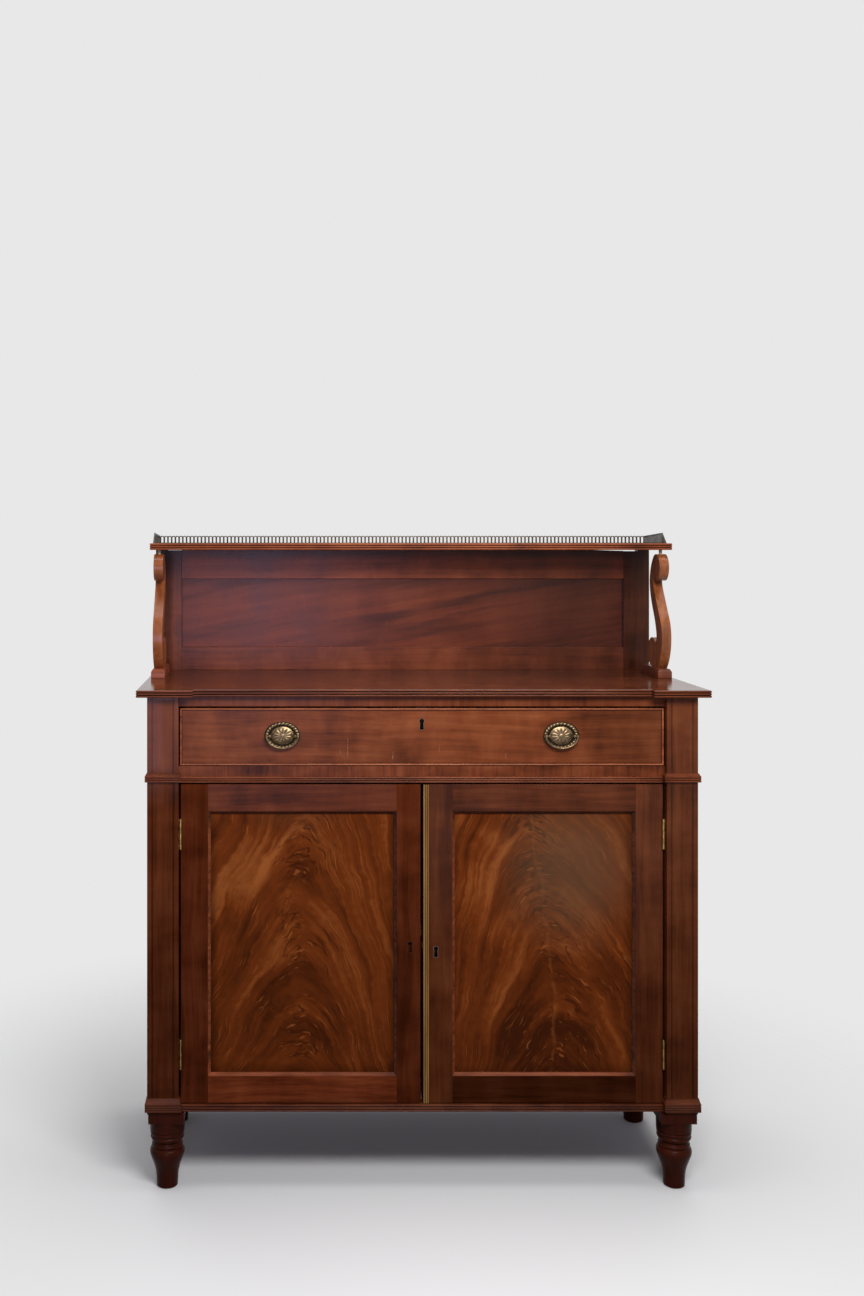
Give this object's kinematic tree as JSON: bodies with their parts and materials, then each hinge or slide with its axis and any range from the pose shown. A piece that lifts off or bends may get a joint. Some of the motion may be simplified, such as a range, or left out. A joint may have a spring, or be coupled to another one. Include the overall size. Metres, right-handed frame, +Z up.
{
  "type": "chiffonier",
  "caption": "Mahogany chiffonier: panelled cupboard doors under a long drawer, on turned feet, with scroll supports carrying a raised shelf and a pierced brass gallery.",
  "frame": {"origin": "on the floor, under the middle of the overall box", "axes": "+X to the viewer's right, +Y to the back, +Z up; the doors and drawer face -Y"},
  "size_m": [1.06, 0.42, 1.227],
  "materials": {
    "mahogany": "french polished",
    "figured_mahogany": "french polished flame veneer",
    "secondary_wood": "unfinished, aged",
    "peg_wood": "bare turned wood",
    "brass": "aged",
    "gallery_brass": "dark patina",
    "bolt_steel": "dull"
  },
  "bodies": {
    "carcass": {"top_board": "mahogany", "left_side_panel": "mahogany", "right_side_panel": "mahogany", "left_pilaster": "mahogany", "right_pilaster": "mahogany", "frieze_rail": "mahogany", "drawer_rail": "mahogany", "waist_moulding": "mahogany", "base_moulding": "mahogany", "pilaster_blocks": "mahogany", "front_feet": "mahogany", "back_feet": "mahogany", "upper_back_stiles": "mahogany", "upper_back_rails": "mahogany", "upper_back_panel": "mahogany", "gallery_shelf": "mahogany", "left_scroll": "mahogany", "right_scroll": "mahogany", "scroll_plinths": "mahogany", "bottom_board": "secondary_wood", "back_boards": "secondary_wood", "drawer_runners": "secondary_wood", "drawer_kickers": "secondary_wood", "drawer_stops": "secondary_wood", "cupboard_shelf": "secondary_wood", "shelf_bearers": "secondary_wood", "shelf_pegs": "peg_wood", "carcass_hinge_leaves": "brass", "hinge_pins": "brass", "brass_gallery": "gallery_brass"},
    "drawer": {"drawer_front": "mahogany", "drawer_cock_beads": "mahogany", "drawer_sides": "secondary_wood", "drawer_back": "secondary_wood", "drawer_bottom": "secondary_wood", "drawer_keyhole_lining": "brass", "drawer_lock": "brass", "handle_plates": "brass", "handle_posts": "brass"},
    "left_door": {"left_door_stiles": "mahogany", "left_door_rails": "mahogany", "left_door_panel": "figured_mahogany", "left_door_panel_beads": "mahogany", "left_door_hinge_leaves": "brass", "left_door_keyhole_lining": "brass", "left_door_bolt_plate": "brass"},
    "right_door": {"right_door_stiles": "mahogany", "right_door_rails": "mahogany", "right_door_panel": "figured_mahogany", "right_door_panel_beads": "mahogany", "right_door_hinge_leaves": "brass", "right_door_keyhole_lining": "brass", "meeting_strip": "brass", "door_lock": "brass"},
    "drawer_lock_bolt": {"drawer_lock_bolt": "bolt_steel"},
    "left_bail": {"left_bail": "brass"},
    "right_bail": {"right_bail": "brass"},
    "left_door_bolt": {"left_door_bolt": "brass"},
    "door_lock_bolt": {"door_lock_bolt": "bolt_steel"}
  },
  "joints": [
    {"name": "drawer_slide", "type": "slide", "parent": "carcass", "child": "drawer", "axis": [0, -1, 0], "range_m": [0, 0.28]},
    {"name": "left_door_hinge", "type": "hinge", "parent": "carcass", "child": "left_door", "pos_m": [-0.4501, -0.181, 0.458], "axis": [0, 0, -1], "range_deg": [0, 92]},
    {"name": "right_door_hinge", "type": "hinge", "parent": "carcass", "child": "right_door", "pos_m": [0.4501, -0.181, 0.458], "axis": [0, 0, 1], "range_deg": [0, 92]},
    {"name": "left_bail_swing", "type": "hinge", "parent": "drawer", "child": "left_bail", "pos_m": [-0.26, -0.1859, 0.846], "axis": [-1, 0, 0], "range_deg": [0, 85]},
    {"name": "right_bail_swing", "type": "hinge", "parent": "drawer", "child": "right_bail", "pos_m": [0.26, -0.1859, 0.846], "axis": [-1, 0, 0], "range_deg": [0, 85]},
    {"name": "drawer_lock_bolt_slide", "type": "slide", "parent": "drawer", "child": "drawer_lock_bolt", "axis": [0, 0, 1], "range_m": [0, 0.009]},
    {"name": "door_lock_bolt_slide", "type": "slide", "parent": "right_door", "child": "door_lock_bolt", "axis": [-1, 0, 0], "range_m": [0, 0.01]},
    {"name": "left_door_bolt_slide", "type": "slide", "parent": "left_door", "child": "left_door_bolt", "axis": [0, 0, 1], "range_m": [0, 0.011]}
  ]
}
